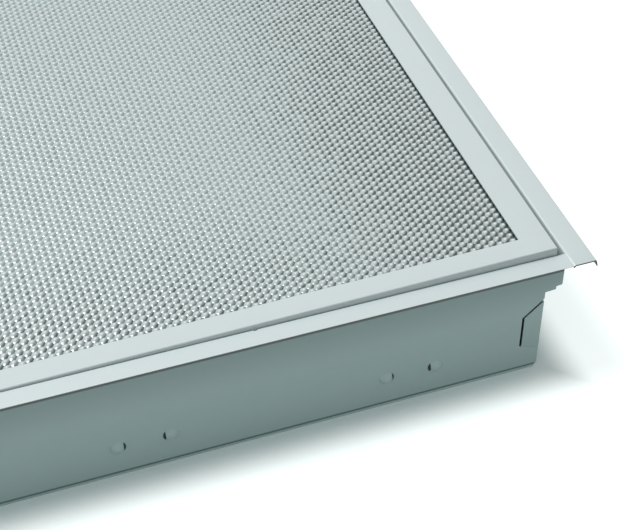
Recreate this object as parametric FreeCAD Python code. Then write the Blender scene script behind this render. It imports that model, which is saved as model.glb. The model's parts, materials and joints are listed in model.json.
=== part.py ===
import FreeCAD, Part
import math
import os

from FreeCAD import Vector

# Recessed lay-in troffer light, lying on its back with the lens upwards.
# X runs across the width, Y along the length (the front end is at -Y), Z out of the lens.
# The origin is the centre of the underside of the back panel. All sizes are in millimetres.

# overall
width = 605.0                 # over the outer edges of the two side flanges
length = 1213.0               # over the outer edges of the two end flanges
height = 98.6                 # back panel to the face of the flanges
sheet = 0.8                   # folded steel sheet
seam = 0.3                    # gap where one sheet stands against the edge of another
running = 0.05                # radial clearance of pins and shafts in their holes
play = 0.3                    # gap between faces that move past each other

# housing
wall_in = 28.5                # outside of a side wall from the outer edge of its flange
wall_height = 67.8            # where the side wall turns outwards
shoulder_in = 20.9            # outside of the shoulder above the turn
shoulder_foot = 68.4          # bottom of the shoulder
ledge_height = 70.9           # top of the ledge that carries the side rail
collar_in = 16.6              # outside of the collar round the door
end_flange = 13.0             # visible width of an end flange
lip_run = 1.4                 # how far the outer lip of a side flange leans out
lip_drop = 5.0                # how far it hangs down
panel_overhang = 1.2          # back panel beyond the end plates
plate_corner = 3.0            # radius of the bottom corners of an end plate
notch_x = 75.7                # release notch in the front end flange
notch_width = 2.8
notch_depth = 1.2

# ceiling clips, one cut in each corner of the end plates
clip_reach = 14.6             # how far the cut runs in from the plate's edge
clip_corner = 48.6            # height of the inner corner of the cut
clip_tip = 62.3               # height of the cut at the plate's edge
clip_root = 22.0              # height of the crease at the cut
clip_root_edge = 16.8         # height of the crease at the plate's edge
clip_slit = 1.3               # width of the cut

# door
door_gap = 5.7                # door to the collar beside it
door_end_gap = 0.5            # door to end flange
door_recess = 1.3             # closed door below the face of the flanges
door_ajar = 0.74              # degrees by which the unlatched door stands open
side_face = 20.2              # face width of a side member
end_face = 15.7               # face width of an end member
skirt = 6.5                   # height of the door's outer skirt
lens_thickness = 3.2
lens_side_lap = 6.8           # lens behind the face of a side member
lens_end_lap = 7.0            # lens behind the face of an end member
key_arm = 48.0                # length of a corner key along each member
key_margin = 0.4              # corner keys, clips and hinge arms to the lens and skirt
lens_clip_width = 14.0
lens_clip_tongue = 6.0        # how far a clip reaches under the lens
lens_clip_foot = 9.0
side_clip_y = (-450.0, -150.0, 150.0, 450.0)
end_clip_x = (-130.0, 130.0)

# hinges at the left side of the door
hinge_in = 6.0                # hinge axis from the door's edge
hinge_down = 5.0              # hinge axis below the door's face
hinge_y = 420.0
hinge_pin_r = 1.5
pin_end = 0.7                 # pin beyond its ears
knuckle_r = 2.8
knuckle_half = 10.0
web_half = 2.0
ear_r = 3.0
ear_thick = 1.5
bracket_lift = 0.5            # foot of a bracket above the foot of the side rail
bracket_drop = 4.0            # top of its wall plate below the axis
bar_drop = 9.0                # top of the bar that carries an ear, below the axis
hinge_notch = 16.0            # half width of the notch in the door's skirt

# quarter-turn latches at the right side of the door
latch_y = 250.0
latch_in = 9.0                # latch axis from the door's edge
latch_shaft_r = 2.5
latch_stud_r = 1.8
latch_knob_r = 5.5
latch_knob_height = 1.2
latch_slot_width = 1.2
latch_slot_depth = 0.7
latch_collar_r = 4.0
latch_collar_height = 0.8
cam_reach = 13.0
cam_half = 3.0
cam_thick = 1.5
cam_drop = 7.1                # top of the cam below the door's face
keeper_gap = 0.4              # latched cam to the keeper above it
keeper_half = 7.0
keeper_reach = 4.5            # how far a keeper is bent in from the collar
peen_r = 3.0
peen_height = 0.8

# lamps: three 16 mm tubes with two-pin caps
lamp_pitch = 181.0
lamp_height = 45.0            # axis above the back panel
tube_r = 8.0
tube_wall = 0.8
cap_r = 8.2
cap_length = 10.0
cap_round = 1.0
pin_r = 1.2
pin_pitch = 4.75
pin_length = 7.1

# lampholders
holder_depth = 18.7           # end plate to the face towards the lamp
holder_half = 11.0
holder_top = 9.5              # above the lamp axis
rotor_r = 6.0
rotor_depth = 8.0
entry_half = 1.6              # half width of the slot that lets the pins in
base_half_height = 7.0
base_thick = 3.0
lance_pitch = 34.6            # between the two domes that hold one lampholder
lance_height = 24.4
lance_r = 5.0                 # radius of a dome where it leaves the plate
lance_rise = 2.8              # how far it stands out of the plate
lance_open = 3.6              # its open edge from its middle
hook_x = 1.9
hook_z = 1.0
hook_y = 1.5

# gear compartment
cover_foot_half = 55.0
cover_top_half = 45.0
cover_height = 32.0
cover_flange = 12.0
cover_end_gap = 1.0
cover_screw_y = (-480.0, 0.0, 480.0)
ballast_length = 360.0
ballast_half = 20.0
ballast_height = 24.0
ballast_ear = 12.0
ballast_ear_half = 8.0
ballast_round = 2.0
terminal_y = -260.0
terminal_length = 44.0
terminal_half = 9.0
terminal_height = 15.0
terminal_poles = 5
pole_r = 1.8
access_y = -330.0
access_half = 32.0
access_lap = 8.0
supply_r = 11.1
earth_x = 35.0
earth_y = -262.0
earth_head_r = 4.5            # over the corners of its hexagon
earth_head_height = 3.6

# fasteners
screw_r = 1.6
screw_head_r = 3.2
screw_head_height = 1.8
screw_tail = 5.0
tip_cover = 0.1               # a short screw's tip above the outside of the back panel
hanger_r = 3.5
hanger_x = 400.0
hanger_y = 1000.0
tab_width = 16.0
tab_length = 12.0
tab_height = 13.0
bottom_tab_x = 225.0

# leads
lead_r = 1.6
lead_bend = 9.0
lead_side_x = 24.0            # where the outer lamps' leads run under the cover
lead_side_end_x = 17.5        # where they enter the ballast
lead_mid_x = 17.0             # the same for the middle lamp's lead
lead_mid_end_x = 12.0
lead_turn_in = 26.0           # distance from the ballast at which the leads turn in
supply_step = 5.0

# worked out from the sizes above
half_w = width / 2
half_l = length / 2
body_half = half_w - wall_in
shoulder_half = half_w - shoulder_in
collar_half = half_w - collar_in
plate_in = half_l - end_flange
plate_out = plate_in + sheet
flange_in = collar_half - sheet
flange_under = height - sheet
body_end = plate_in - seam
door_half_w = flange_in - door_gap
door_half_l = plate_in - door_end_gap
door_top = height - door_recess
face_under = door_top - sheet
skirt_foot = door_top - skirt
sight_half_w = door_half_w - side_face
sight_half_l = door_half_l - end_face
lens_half_w = sight_half_w + lens_side_lap
lens_half_l = sight_half_l + lens_end_lap
lens_under = face_under - lens_thickness
hinge_x = hinge_in - door_half_w
hinge_z = door_top - hinge_down
latch_x = door_half_w - latch_in
holder_face = plate_in - holder_depth
lamp_half = holder_face - play
lamp_xs = {"left": -lamp_pitch, "centre": 0.0, "right": lamp_pitch}
cover_end = holder_face - cover_end_gap
ends = {"front": -1, "rear": 1}
sides = {"left": -1, "right": 1}

os.makedirs("parts", exist_ok=True)


def box(x0, x1, y0, y1, z0, z1):
    """A block between two corners, given in any order."""
    low = Vector(min(x0, x1), min(y0, y1), min(z0, z1))
    return Part.makeBox(abs(x1 - x0), abs(y1 - y0), abs(z1 - z0), low)


def rod(r, start, end):
    """A round bar between two points."""
    run = Vector(*end) - Vector(*start)
    return Part.makeCylinder(r, run.Length, Vector(*start), run)


def fuse(*pieces):
    """One solid from pieces that overlap or share a face."""
    return pieces[0].fuse(list(pieces[1:])).removeSplitter()


def flip_x(shape):
    return shape.mirror(Vector(0, 0, 0), Vector(1, 0, 0))


def flip_y(shape):
    return shape.mirror(Vector(0, 0, 0), Vector(0, 1, 0))


def at_side(shape, side):
    """A shape modelled at the right side, moved to the side asked for."""
    return shape if sides[side] > 0 else flip_x(shape)


def at_end(shape, end):
    """A shape modelled at the front end, moved to the end asked for."""
    return shape if ends[end] < 0 else flip_y(shape)


def prism(points, y0, y1):
    """A section drawn in X and Z, run from y0 to y1."""
    corners = [Vector(x, y0, z) for x, z in points]
    face = Part.Face(Part.makePolygon(corners + corners[:1]))
    return face.extrude(Vector(0, y1 - y0, 0))


def beside(points, t):
    """The line that runs at distance t to the left of an open line of points."""
    dirs = []
    for (x0, z0), (x1, z1) in zip(points, points[1:]):
        run = math.hypot(x1 - x0, z1 - z0)
        dirs.append(((x1 - x0) / run, (z1 - z0) / run))
    shifted = []
    for i, (x, z) in enumerate(points):
        ux, uz = dirs[max(i - 1, 0)]
        vx, vz = dirs[min(i, len(dirs) - 1)]
        scale = t / (1 + ux * vx + uz * vz)
        shifted.append((x - (uz + vz) * scale, z + (ux + vx) * scale))
    return shifted


def fold(points, y0, y1):
    """Folded sheet whose outer face follows the points, with the metal to their left."""
    return prism(points + beside(points, sheet)[::-1], y0, y1)


def with_door(shape):
    """A shape modelled on the closed door, turned to where the door stands ajar."""
    turned = shape.copy()
    turned.rotate(Vector(hinge_x, 0, hinge_z), Vector(0, -1, 0), door_ajar)
    return turned


def screw(x, y, z, way, shank=screw_tail):
    """A pan-head sheet screw: its head sits on the place given, and its shank runs along way."""
    seat = Vector(x, y, z)
    axis = Vector(*way)
    head = Part.makeCylinder(screw_head_r, screw_head_height, seat - axis * screw_head_height, axis)
    return fuse(head, Part.makeCylinder(screw_r, shank, seat, axis))


def short_screw(x, y, z, way):
    """A screw into the back panel, whose tip stays inside the panel."""
    return screw(x, y, z, way, z - tip_cover)


def screw_hole(x, y, z, way):
    axis = Vector(*way)
    start = Vector(x, y, z) - axis * screw_tail
    return Part.makeCylinder(screw_r + running, 2 * screw_tail, start, axis)


def side_tab_screw(side, end):
    """Place and direction of the screw through a side wall into an end plate's tab."""
    y = ends[end] * (plate_in - tab_length / 2)
    z = plate_corner + tab_height / 2
    return sides[side] * body_half, y, z, (-sides[side], 0, 0)


def bottom_tab_screw(side, end):
    """Place and direction of the screw through an end plate's bottom tab into the panel."""
    y = ends[end] * (plate_in - tab_length / 2)
    return sides[side] * bottom_tab_x, y, 2 * sheet, (0, 0, -1)


def panel_screws():
    """Screws that stand on one more sheet inside and end in the back panel."""
    places = []
    for y in cover_screw_y:
        for side in (-1, 1):
            x = side * (cover_foot_half + cover_flange / 2)
            places.append((x, y, 2 * sheet, (0, 0, -1)))
    return places


def ballast_screw_places():
    y = ballast_length / 2 + ballast_ear / 2
    return [(0, side * y, 2 * sheet, (0, 0, -1)) for side in (-1, 1)]


def access_screw_places():
    x = access_half + access_lap / 2
    return [(side * x, access_y, 2 * sheet, (0, 0, -1)) for side in (-1, 1)]


def hanger_places():
    return [(x * hanger_x / 2, y * hanger_y / 2) for x in (-1, 1) for y in (-1, 1)]


def make_housing_body():
    """Back panel, side walls, shoulders and ledges folded from one sheet."""
    right = [
        (0, 0),
        (body_half, 0),
        (body_half, wall_height),
        (shoulder_half, shoulder_foot),
        (shoulder_half, ledge_height - sheet),
        (collar_half, ledge_height - sheet),
    ]
    half = fold(right, -body_end, body_end)
    reach = plate_out + panel_overhang
    panel = box(-body_half + plate_corner, body_half - plate_corner, -reach, reach, 0, sheet)
    body = fuse(half, flip_x(half), panel)
    cuts = [rod(hanger_r, (x, y, -1), (x, y, 2 * sheet)) for x, y in hanger_places()]
    opening = box(-access_half, access_half, access_y - access_half, access_y + access_half, -1, 2 * sheet)
    cuts.append(opening)
    for place in panel_screws() + ballast_screw_places() + access_screw_places():
        cuts.append(screw_hole(*place))
    cuts.append(screw_hole(earth_x, earth_y, sheet, (0, 0, -1)))
    for end in ends:
        for side in sides:
            cuts.append(screw_hole(*side_tab_screw(side, end)))
            cuts.append(screw_hole(*bottom_tab_screw(side, end)))
    return body.cut(cuts)


def make_side_rail(side):
    """Collar beside the door with its foot, the flange and the flange's outer lip."""
    flange = fold(
        [(half_w, height - lip_drop), (half_w - lip_run, height), (flange_in, height)],
        -half_l,
        half_l,
    )
    collar = fold(
        [(shoulder_half - sheet, ledge_height), (collar_half, ledge_height), (collar_half, flange_under)],
        -body_end,
        body_end,
    )
    rail = fuse(flange, collar)
    if side == "right":
        rail = with_keepers(rail)
    return at_side(rail, side)


def with_keepers(rail):
    """A side rail with the two tabs, cut and bent in from its collar, that hold the latch cams."""
    low = door_top - cam_drop + keeper_gap
    tabs = []
    windows = []
    for y in (-latch_y, latch_y):
        y0 = y - keeper_half
        y1 = y + keeper_half
        tabs.append(box(collar_half - sheet - keeper_reach, collar_half, y0, y1, low, low + sheet))
        windows.append(
            box(collar_half - 2 * sheet, collar_half + sheet, y0, y1, low + sheet, low + keeper_reach)
        )
    return fuse(rail.cut(windows), *tabs)


def clip_cut():
    """Slit round a ceiling clip, from the plate's edge down to the crease."""
    inner = body_half - clip_reach
    return [(body_half, clip_tip), (inner, clip_corner), (inner, clip_root)]


def clip_outline(gap):
    """Outline of a ceiling clip, or of its opening when the gap is nothing."""
    line = beside(clip_cut(), gap * clip_slit)
    slope = (clip_tip - clip_corner) / clip_reach
    top_x, top_z = line[0]
    top = (body_half, top_z + (body_half - top_x) * slope)
    lift = gap * play
    root = (line[2][0], clip_root + lift)
    return [top, line[1], root, (body_half, clip_root_edge + lift)]


def lance(x, side):
    """A shallow dome pressed out of the end plate, cut open on the side towards its partner."""
    ball_r = (lance_r ** 2 + lance_rise ** 2) / (2 * lance_rise)
    centre = Vector(x, -plate_out - lance_rise + ball_r, lance_height)
    cut_x = x - side * lance_open
    far = x + side * 2 * lance_r
    keep = box(cut_x, far, -plate_in, -plate_out - 2 * lance_rise, 0, 2 * lance_height)
    outer = Part.makeSphere(ball_r, centre).common(keep)
    inner = Part.makeSphere(ball_r - sheet, centre).common(keep)
    return outer, inner


def make_end_plate(end):
    """Flat end plate with its flange, tabs, lampholder domes and clip openings."""
    half = [
        (0, sheet),
        (body_half, sheet),
        (body_half, wall_height),
        (shoulder_half, shoulder_foot),
        (shoulder_half, ledge_height),
        (collar_half, ledge_height + sheet),
        (collar_half, flange_under),
        (0, flange_under),
    ]
    wall = prism(half, -plate_out, -plate_in)
    corner = [edge for edge in wall.Edges if is_bottom_corner(edge)]
    wall = wall.makeFillet(plate_corner, corner)
    flange = box(0, flange_in, -half_l, -plate_in, flange_under, height)
    side_tab = box(
        body_half - 2 * sheet,
        body_half - sheet,
        -plate_in,
        -plate_in + tab_length,
        plate_corner,
        plate_corner + tab_height,
    )
    bottom_tab = box(
        bottom_tab_x - tab_width / 2,
        bottom_tab_x + tab_width / 2,
        -plate_in,
        -plate_in + tab_length,
        sheet,
        2 * sheet,
    )
    right = fuse(wall, flange, side_tab, bottom_tab)
    right = right.cut(prism(clip_outline(0), -plate_out - 1, -plate_in + 1))
    plate = fuse(right, flip_x(right))
    domes = []
    hollows = []
    for x in lamp_xs.values():
        for side in (-1, 1):
            outer, inner = lance(x + side * lance_pitch / 2, side)
            domes.append(outer)
            hollows.append(inner)
    plate = fuse(plate, *domes).cut(hollows)
    holes = []
    for side in sides:
        holes.append(screw_hole(*side_tab_screw(side, "front")))
        holes.append(screw_hole(*bottom_tab_screw(side, "front")))
    plate = plate.cut(holes)
    if end == "front":
        notch = box(
            notch_x - notch_width / 2,
            notch_x + notch_width / 2,
            -plate_in,
            -plate_in - notch_depth,
            flange_under - notch_depth,
            height + 1,
        )
        plate = plate.cut(notch)
    return at_end(plate, end)


def is_bottom_corner(edge):
    """True for the edge through the plate at its lower outer corner."""
    at = edge.CenterOfMass
    return abs(at.x - body_half) < 0.01 and abs(at.z - sheet) < 0.01


def make_ceiling_clip(side, end):
    """Clip cut free of the end plate on two sides, to be bent out over the ceiling grid."""
    clip = prism(clip_outline(1), -plate_out, -plate_in)
    return at_end(at_side(clip, side), end)


def make_lampholder(x, end):
    """Moulded holder with a base hooked into two domes and a round bore for its rotor."""
    y0 = -plate_in
    y1 = -holder_face
    base = box(
        x - lance_pitch / 2 - hook_x,
        x + lance_pitch / 2 + hook_x,
        y0,
        y0 + base_thick,
        lance_height - base_half_height,
        lance_height + base_half_height,
    )
    post = box(x - holder_half, x + holder_half, y0, y1, lance_height - base_half_height, lamp_height)
    crown = rod(holder_half, (x, y0, lamp_height), (x, y1, lamp_height))
    top = box(x - holder_half, x + holder_half, y0, y1, lamp_height, lamp_height + holder_top)
    crown = crown.common(top)
    hooks = []
    for side in (-1, 1):
        near = x + side * lance_pitch / 2
        hooks.append(
            box(near, near + side * hook_x, y0, y0 - hook_y, lance_height - hook_z, lance_height + hook_z)
        )
    body = fuse(base, post, crown, *hooks)
    depth = rotor_depth + play
    bore = rod(rotor_r + running, (x, y1 + 1, lamp_height), (x, y1 - depth, lamp_height))
    above = lamp_height + 2 * holder_top
    entry = box(x - entry_half, x + entry_half, y1 + 1, y1 - depth, lamp_height, above)
    return at_end(body.cut([bore, entry]), end)


def make_rotors(x):
    """The two slotted discs that turn with a lamp, one in each holder."""
    y1 = -holder_face
    disc = rod(rotor_r, (x, y1, lamp_height), (x, y1 - rotor_depth, lamp_height))
    slot_half = pin_r + running
    slot = box(
        x - rotor_r,
        x + rotor_r,
        y1 + 1,
        y1 - pin_length,
        lamp_height - slot_half,
        lamp_height + slot_half,
    )
    front = disc.cut(slot)
    return Part.makeCompound([front, flip_y(front)])


def make_lamp_tube(x):
    """Glass tube between the caps."""
    y = lamp_half - cap_length
    tube = rod(tube_r, (x, -y, lamp_height), (x, y, lamp_height))
    inside = rod(tube_r - tube_wall, (x, -y - 1, lamp_height), (x, y + 1, lamp_height))
    return tube.cut(inside)


def make_lamp_caps(x):
    """The lamp's two end caps, each with its two pins."""
    y0 = -lamp_half
    cap = rod(cap_r, (x, y0, lamp_height), (x, y0 + cap_length, lamp_height))
    cap = cap.makeFillet(cap_round, [edge for edge in cap.Edges if abs(edge.CenterOfMass.y - y0) < 0.01])
    pins = []
    for side in (-1, 1):
        px = x + side * pin_pitch / 2
        pins.append(rod(pin_r, (px, y0 + 1, lamp_height), (px, y0 - pin_length + play, lamp_height)))
    front = fuse(cap, *pins)
    return Part.makeCompound([front, flip_y(front)])


def make_gear_cover():
    """Hat-shaped cover over the ballast and the wiring."""
    right = [
        (cover_foot_half + cover_flange, 2 * sheet),
        (cover_foot_half, 2 * sheet),
        (cover_top_half, cover_height + sheet),
        (0, cover_height + sheet),
    ]
    half = fold(right, -cover_end, cover_end)
    cover = fuse(half, flip_x(half))
    return cover.cut([screw_hole(*place) for place in panel_screws()])


def make_ballast():
    """Ballast case with a fixing ear at each end."""
    y = ballast_length / 2
    case = box(-ballast_half, ballast_half, -y, y, sheet, sheet + ballast_height)
    top = [edge for edge in case.Edges if edge.CenterOfMass.z > sheet + 0.6 * ballast_height]
    case = case.makeFillet(ballast_round, top)
    reach = y + ballast_ear
    ears = box(-ballast_ear_half, ballast_ear_half, -reach, reach, sheet, 2 * sheet)
    return fuse(case, ears).cut([screw_hole(*place) for place in ballast_screw_places()])


def make_terminal_block():
    """Supply terminal block with one screw well for each pole."""
    y0 = terminal_y - terminal_length / 2
    block = box(-terminal_half, terminal_half, y0, y0 + terminal_length, sheet, sheet + terminal_height)
    step = terminal_length / terminal_poles
    top = sheet + terminal_height
    wells = []
    for i in range(terminal_poles):
        y = y0 + (i + 0.5) * step
        for x in (-terminal_half / 2, terminal_half / 2):
            wells.append(rod(pole_r, (x, y, top - terminal_height / 3), (x, y, top + 1)))
    return block.cut(wells)


def make_access_plate():
    """Inner plate that closes the wiring opening and holds the supply entry."""
    x = access_half + access_lap
    plate = box(-x, x, access_y - x, access_y + x, sheet, 2 * sheet)
    cuts = [screw_hole(*place) for place in access_screw_places()]
    cuts.append(rod(supply_r, (0, access_y, 0), (0, access_y, 3 * sheet)))
    return plate.cut(cuts)


def make_earth_screw():
    """Hexagonal earthing screw in the back panel."""
    hexagon = []
    for i in range(6):
        turn = math.radians(60 * i)
        x = earth_x + earth_head_r * math.cos(turn)
        y = earth_y + earth_head_r * math.sin(turn)
        hexagon.append(Vector(x, y, sheet))
    face = Part.Face(Part.makePolygon(hexagon + hexagon[:1]))
    head = face.extrude(Vector(0, 0, earth_head_height))
    return fuse(head, rod(screw_r, (earth_x, earth_y, sheet), (earth_x, earth_y, tip_cover)))


def make_panel_screws(places):
    """A set of screws whose tips stay inside the back panel."""
    return Part.makeCompound([short_screw(*place) for place in places])


def make_end_plate_screws():
    """The screws through the side walls and the bottom tabs of both end plates."""
    solids = []
    for end in ends:
        for side in sides:
            solids.append(screw(*side_tab_screw(side, end)))
            solids.append(short_screw(*bottom_tab_screw(side, end)))
    return Part.makeCompound(solids)


def lead(points):
    """A round lead along straight runs joined by arcs."""
    pts = [Vector(*p) for p in points]
    edges = []
    at = pts[0]
    for before, corner, after in zip(pts, pts[1:], pts[2:]):
        back = (before - corner).normalize()
        on = (after - corner).normalize()
        half_turn = (math.pi - back.getAngle(on)) / 2
        cut = lead_bend * math.tan(half_turn)
        start = corner + back * cut
        stop = corner + on * cut
        middle_way = (back + on).normalize()
        middle = corner + middle_way * (lead_bend / math.cos(half_turn) - lead_bend)
        edges.append(Part.LineSegment(at, start).toShape())
        edges.append(Part.Arc(start, middle, stop).toShape())
        at = stop
    edges.append(Part.LineSegment(at, pts[-1]).toShape())
    path = Part.Wire(edges)
    way = (pts[1] - pts[0]).normalize()
    ring = Part.Wire(Part.makeCircle(lead_r, pts[0], way))
    return path.makePipeShell([ring], True, True)


def make_lamp_leads(end):
    """Leads from the ballast under the cover to the three lampholders of one end."""
    z = 2 * sheet + play + lead_r
    y_across = -(holder_face + plate_in) / 2
    y_stop = -ballast_length / 2
    y_turn = y_stop - lead_turn_in
    solids = []
    for side in (-1, 1):
        x_holder = side * (lamp_pitch - holder_half)
        route = [
            (x_holder, y_across, lance_height),
            (x_holder - side * 3 * lead_bend, y_across, lance_height),
            (x_holder - side * 6 * lead_bend, y_across, z),
            (side * lead_side_x, y_across, z),
            (side * lead_side_x, y_turn - lead_bend, z),
            (side * lead_side_end_x, y_turn, z),
            (side * lead_side_end_x, y_stop, z),
        ]
        solids.append(lead(route))
    route = [
        (0, y_across, lance_height - base_half_height),
        (0, y_across, z),
        (0, y_across + 5 * lead_bend, z),
        (lead_mid_x, y_across + 9 * lead_bend, z),
        (lead_mid_x, y_turn - lead_bend, z),
        (lead_mid_end_x, y_turn, z),
        (lead_mid_end_x, y_stop, z),
    ]
    solids.append(lead(route))
    return at_end(Part.makeCompound(solids), end)


def make_supply_leads():
    """Three leads from the terminal block to the ballast."""
    z = sheet + terminal_height / 3
    y0 = terminal_y + terminal_length / 2
    y1 = -ballast_length / 2
    return Part.makeCompound([rod(lead_r, (x, y0, z), (x, y1, z)) for x in (-supply_step, 0, supply_step)])


def make_hinge_bracket(y):
    """Bracket on the left collar with two ears that hold the hinge pin."""
    wall_x = -collar_half + sheet
    reach = knuckle_half + play + ear_thick
    z0 = ledge_height + sheet + bracket_lift
    base = box(wall_x, wall_x + sheet, y - reach, y + reach, z0, hinge_z - bracket_drop)
    pieces = [base]
    for side in (-1, 1):
        y0 = y + side * (knuckle_half + play)
        y1 = y0 + side * ear_thick
        pieces.append(box(wall_x, hinge_x + ear_r, y0, y1, z0, hinge_z - bar_drop))
        pieces.append(box(hinge_x - 2 * ear_r / 3, hinge_x + ear_r, y0, y1, z0, hinge_z))
        pieces.append(rod(ear_r, (hinge_x, y0, hinge_z), (hinge_x, y1, hinge_z)))
    hole = rod(hinge_pin_r + running, (hinge_x, y - 2 * reach, hinge_z), (hinge_x, y + 2 * reach, hinge_z))
    return fuse(*pieces).cut(hole)


def make_hinge_pin(y):
    reach = knuckle_half + play + ear_thick + pin_end
    return rod(hinge_pin_r, (hinge_x, y - reach, hinge_z), (hinge_x, y + reach, hinge_z))


def make_hinge_arm(y):
    """Plate under the left side member with the knuckle that turns on the pin."""
    y0 = y - knuckle_half
    y1 = y + knuckle_half
    x0 = hinge_x - 2 * web_half
    plate = box(x0, -lens_half_w - key_margin, y0, y1, face_under - sheet, face_under)
    web = box(hinge_x - web_half, hinge_x + web_half, y0, y1, hinge_z, face_under)
    knuckle = rod(knuckle_r, (hinge_x, y0, hinge_z), (hinge_x, y1, hinge_z))
    bore = rod(hinge_pin_r + running, (hinge_x, y0 - 1, hinge_z), (hinge_x, y1 + 1, hinge_z))
    return with_door(fuse(plate, web, knuckle).cut(bore))


def make_door_side(side):
    """Side member of the door: face and outer skirt, over the door's whole length."""
    section = [(door_half_w, skirt_foot), (door_half_w, door_top), (sight_half_w, door_top)]
    member = at_side(fold(section, -door_half_l, door_half_l), side)
    cuts = []
    if side == "left":
        for y in (-hinge_y, hinge_y):
            cuts.append(
                box(
                    -door_half_w - 1,
                    -door_half_w + sheet,
                    y - hinge_notch,
                    y + hinge_notch,
                    skirt_foot - 1,
                    face_under,
                )
            )
    else:
        for y in (-latch_y, latch_y):
            cuts.append(
                rod(latch_shaft_r + running, (latch_x, y, face_under - 1), (latch_x, y, door_top + 1))
            )
    return with_door(member.cut(cuts))


def make_door_end(end):
    """End member of the door, between the two side members."""
    face = box(-sight_half_w, sight_half_w, -door_half_l, -sight_half_l, face_under, door_top)
    reach = door_half_w - sheet
    apron = box(-reach, reach, -door_half_l, -door_half_l + sheet, skirt_foot, face_under)
    return with_door(at_end(fuse(face, apron), end))


def make_corner_keys():
    """Flat angles under the four corners that tie side and end members together."""
    x1 = door_half_w - sheet - key_margin
    y1 = door_half_l - sheet - key_margin
    x0 = lens_half_w + key_margin
    y0 = lens_half_l + key_margin
    z0 = face_under - sheet
    long_arm = box(x0, x1, y1 - key_arm, y1, z0, face_under)
    cross_arm = box(x1 - key_arm, x1, y0, y1, z0, face_under)
    key = fuse(long_arm, cross_arm)
    keys = [key, flip_x(key), flip_y(key), flip_x(flip_y(key))]
    return with_door(Part.makeCompound(keys))


def make_lens():
    """Lens sheet behind the opening of the door frame."""
    return with_door(
        box(-lens_half_w, lens_half_w, -lens_half_l, lens_half_l, lens_under, face_under)
    )


def lens_clip_section(edge):
    """Section of a lens clip: a tongue under the lens, a riser and a foot on the frame."""
    return [
        (edge - lens_clip_tongue, lens_under - sheet),
        (edge + key_margin + sheet, lens_under - sheet),
        (edge + key_margin + sheet, face_under - sheet),
        (edge + lens_clip_foot, face_under - sheet),
    ]


def make_lens_clips():
    """Clips that hold the lens up against the frame."""
    clips = []
    for y in side_clip_y:
        clip = fold(lens_clip_section(lens_half_w), y - lens_clip_width / 2, y + lens_clip_width / 2)
        clips.append(clip)
        clips.append(flip_x(clip))
    tongue = lens_half_l - lens_clip_tongue
    riser = lens_half_l + key_margin
    for x in end_clip_x:
        x0 = x - lens_clip_width / 2
        x1 = x + lens_clip_width / 2
        clip = fuse(
            box(x0, x1, tongue, riser + sheet, lens_under - sheet, lens_under),
            box(x0, x1, riser, riser + sheet, lens_under - sheet, face_under),
            box(x0, x1, riser, door_half_l - sheet - key_margin, face_under - sheet, face_under),
        )
        clips.append(clip)
        clips.append(flip_y(clip))
    return with_door(Part.makeCompound(clips))


def make_latch_knob(y):
    """Slotted knob on the door's face with its shaft and stud."""
    knob_z = door_top + play
    cam_top = door_top - cam_drop
    knob = rod(latch_knob_r, (latch_x, y, knob_z), (latch_x, y, knob_z + latch_knob_height))
    shaft = rod(latch_shaft_r, (latch_x, y, cam_top), (latch_x, y, knob_z))
    collar_z = face_under - play
    collar = rod(latch_collar_r, (latch_x, y, collar_z - latch_collar_height), (latch_x, y, collar_z))
    stud_foot = cam_top - cam_thick - peen_height
    stud = rod(latch_stud_r, (latch_x, y, stud_foot), (latch_x, y, cam_top))
    peen = rod(peen_r, (latch_x, y, stud_foot), (latch_x, y, stud_foot + peen_height))
    slot = box(
        latch_x - latch_knob_r,
        latch_x + latch_knob_r,
        y - latch_slot_width / 2,
        y + latch_slot_width / 2,
        knob_z + latch_knob_height - latch_slot_depth,
        knob_z + latch_knob_height + 1,
    )
    return with_door(fuse(knob, shaft, collar, stud, peen).cut(slot))


def make_latch_cam(y):
    """Tongue fixed on the latch's stud, lying along the door while it is unlatched."""
    top = door_top - cam_drop
    tongue = box(latch_x - cam_half, latch_x + cam_half, y, y + cam_reach, top - cam_thick, top)
    boss = rod(cam_half, (latch_x, y, top - cam_thick), (latch_x, y, top))
    hole = rod(latch_stud_r + running, (latch_x, y, top - 2 * cam_thick), (latch_x, y, top + 1))
    return with_door(fuse(tongue, boss).cut(hole))


def save(name, shape):
    shape.exportStep("parts/" + name + ".step")


save("housing_body", make_housing_body())
save("access_plate", make_access_plate())
save("access_plate_screws", make_panel_screws(access_screw_places()))
save("gear_cover", make_gear_cover())
save("gear_cover_screws", make_panel_screws(panel_screws()))
save("ballast", make_ballast())
save("ballast_screws", make_panel_screws(ballast_screw_places()))
save("terminal_block", make_terminal_block())
save("earth_screw", make_earth_screw())
save("supply_leads", make_supply_leads())
save("end_plate_screws", make_end_plate_screws())
save("lens", make_lens())
save("lens_clips", make_lens_clips())
save("door_corner_keys", make_corner_keys())

for side in sides:
    save("side_rail_" + side, make_side_rail(side))
    save("door_side_" + side, make_door_side(side))

for end in ends:
    save("end_plate_" + end, make_end_plate(end))
    save("door_end_" + end, make_door_end(end))
    save("lamp_leads_" + end, make_lamp_leads(end))
    save("hinge_bracket_" + end, make_hinge_bracket(ends[end] * hinge_y))
    save("hinge_pin_" + end, make_hinge_pin(ends[end] * hinge_y))
    save("door_hinge_arm_" + end, make_hinge_arm(ends[end] * hinge_y))
    save("latch_knob_" + end, make_latch_knob(ends[end] * latch_y))
    save("latch_cam_" + end, make_latch_cam(ends[end] * latch_y))
    for side in sides:
        save("ceiling_clip_" + end + "_" + side, make_ceiling_clip(side, end))

for name, x in lamp_xs.items():
    save("lamp_tube_" + name, make_lamp_tube(x))
    save("lamp_caps_" + name, make_lamp_caps(x))
    save("lamp_rotors_" + name, make_rotors(x))
    for end in ends:
        save("lampholder_" + end + "_" + name, make_lampholder(x, end))
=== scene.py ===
import json
import math

import bmesh
import bpy
from mathutils import Euler, Matrix, Vector

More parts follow.
